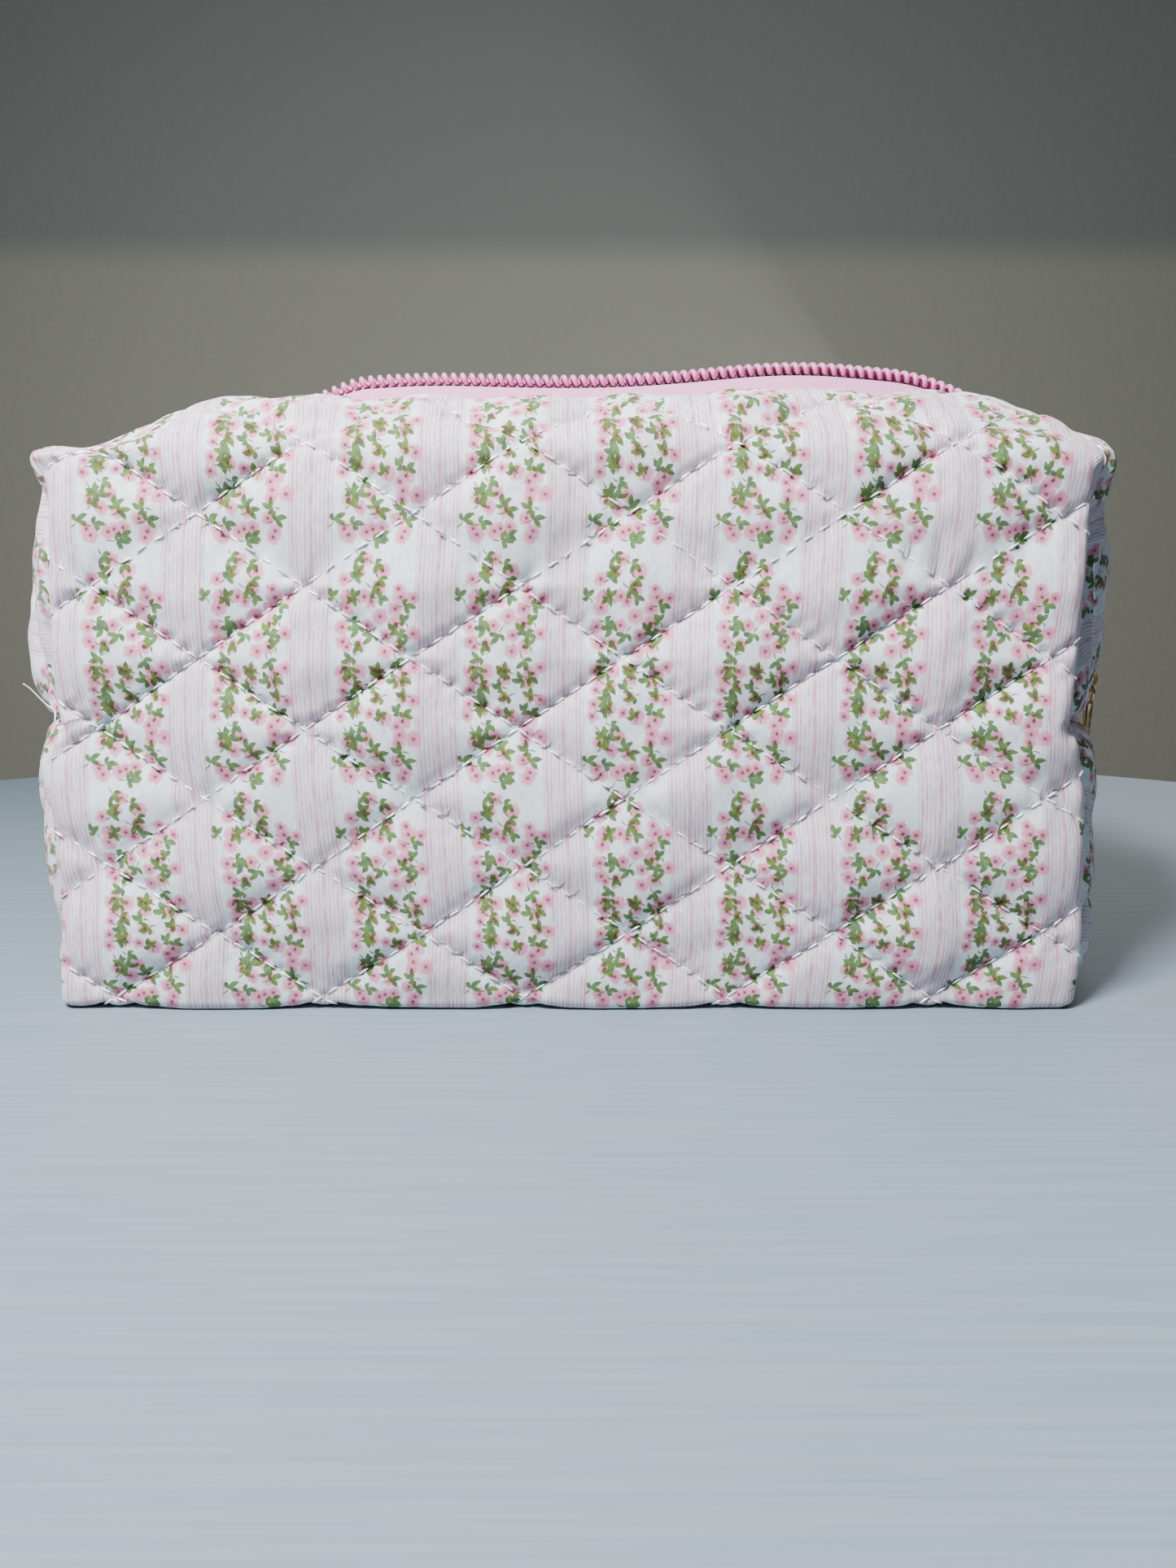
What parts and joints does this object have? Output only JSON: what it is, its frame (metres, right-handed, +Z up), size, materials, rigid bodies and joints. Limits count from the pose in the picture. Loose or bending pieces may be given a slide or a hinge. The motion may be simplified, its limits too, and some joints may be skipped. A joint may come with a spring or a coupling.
{
  "type": "makeup bag",
  "caption": "Quilted boxy makeup bag with a printed cotton shell, soft lining, a coil zip over the top and a gold pull hanging at one end.",
  "frame": {"origin": "middle of the base, on the surface that the bag stands on", "axes": "+X along the zip towards the closed slider, +Y from the front panel to the rear panel, +Z up"},
  "size_m": [0.1981, 0.084, 0.1052],
  "materials": {
    "printed_cotton": "printed woven cotton, machine quilted",
    "wadding": "soft polyester wadding",
    "quilting_thread": "silvery metallic thread",
    "lining": "plain woven cotton",
    "zip_tape": "herringbone woven polyester",
    "zip_coil": "glossy nylon monofilament",
    "binding": "folded bias tape",
    "gold_metal": "polished pale gold plating"
  },
  "bodies": {
    "root": {"front_panel_cloth": "printed_cotton", "front_panel_wadding": "wadding", "front_panel_lining": "lining", "rear_panel_cloth": "printed_cotton", "rear_panel_wadding": "wadding", "rear_panel_lining": "lining", "base_cloth": "printed_cotton", "base_wadding": "wadding", "base_lining": "lining", "right_end_lower_cloth": "printed_cotton", "right_end_lower_wadding": "wadding", "right_end_lower_lining": "lining", "left_end_lower_cloth": "printed_cotton", "left_end_lower_wadding": "wadding", "left_end_lower_lining": "lining", "right_end_upper_cloth": "printed_cotton", "right_end_upper_wadding": "wadding", "right_end_upper_lining": "lining", "left_end_upper_cloth": "printed_cotton", "left_end_upper_wadding": "wadding", "left_end_upper_lining": "lining", "right_end_zip_tapes": "zip_tape", "left_end_zip_tapes": "zip_tape", "right_end_zip_coils": "zip_coil", "left_end_zip_coils": "zip_coil", "right_seam_binding": "binding", "left_seam_binding": "binding"},
    "front_top": {"front_flap_cloth": "printed_cotton", "front_flap_wadding": "wadding", "front_flap_lining": "lining", "front_zip_tape": "zip_tape", "front_zip_coil": "zip_coil"},
    "rear_top": {"rear_flap_cloth": "printed_cotton", "rear_flap_wadding": "wadding", "rear_flap_lining": "lining", "rear_zip_tape": "zip_tape", "rear_zip_coil": "zip_coil"},
    "slider": {"slider_body": "gold_metal", "slider_bridge": "gold_metal"},
    "pull": {"zip_pull": "gold_metal"}
  },
  "joints": [
    {"name": "front_flap_fold", "type": "hinge", "parent": "root", "child": "front_top", "pos_m": [0, -0.0379, 0.0912], "axis": [1, 0, 0], "range_deg": [0, 60]},
    {"name": "rear_flap_fold", "type": "hinge", "parent": "root", "child": "rear_top", "pos_m": [0, 0.0379, 0.0912], "axis": [-1, 0, 0], "range_deg": [0, 60]},
    {"name": "slider_travel", "type": "hinge", "parent": "root", "child": "slider", "pos_m": [0.0565, 0, 0.064], "axis": [0, -1, 0], "range_deg": [0, 102]},
    {"name": "pull_swing", "type": "hinge", "parent": "slider", "child": "pull", "pos_m": [0.09766, 0, 0.04902], "axis": [0, -1, 0], "range_deg": [0, 150]}
  ]
}
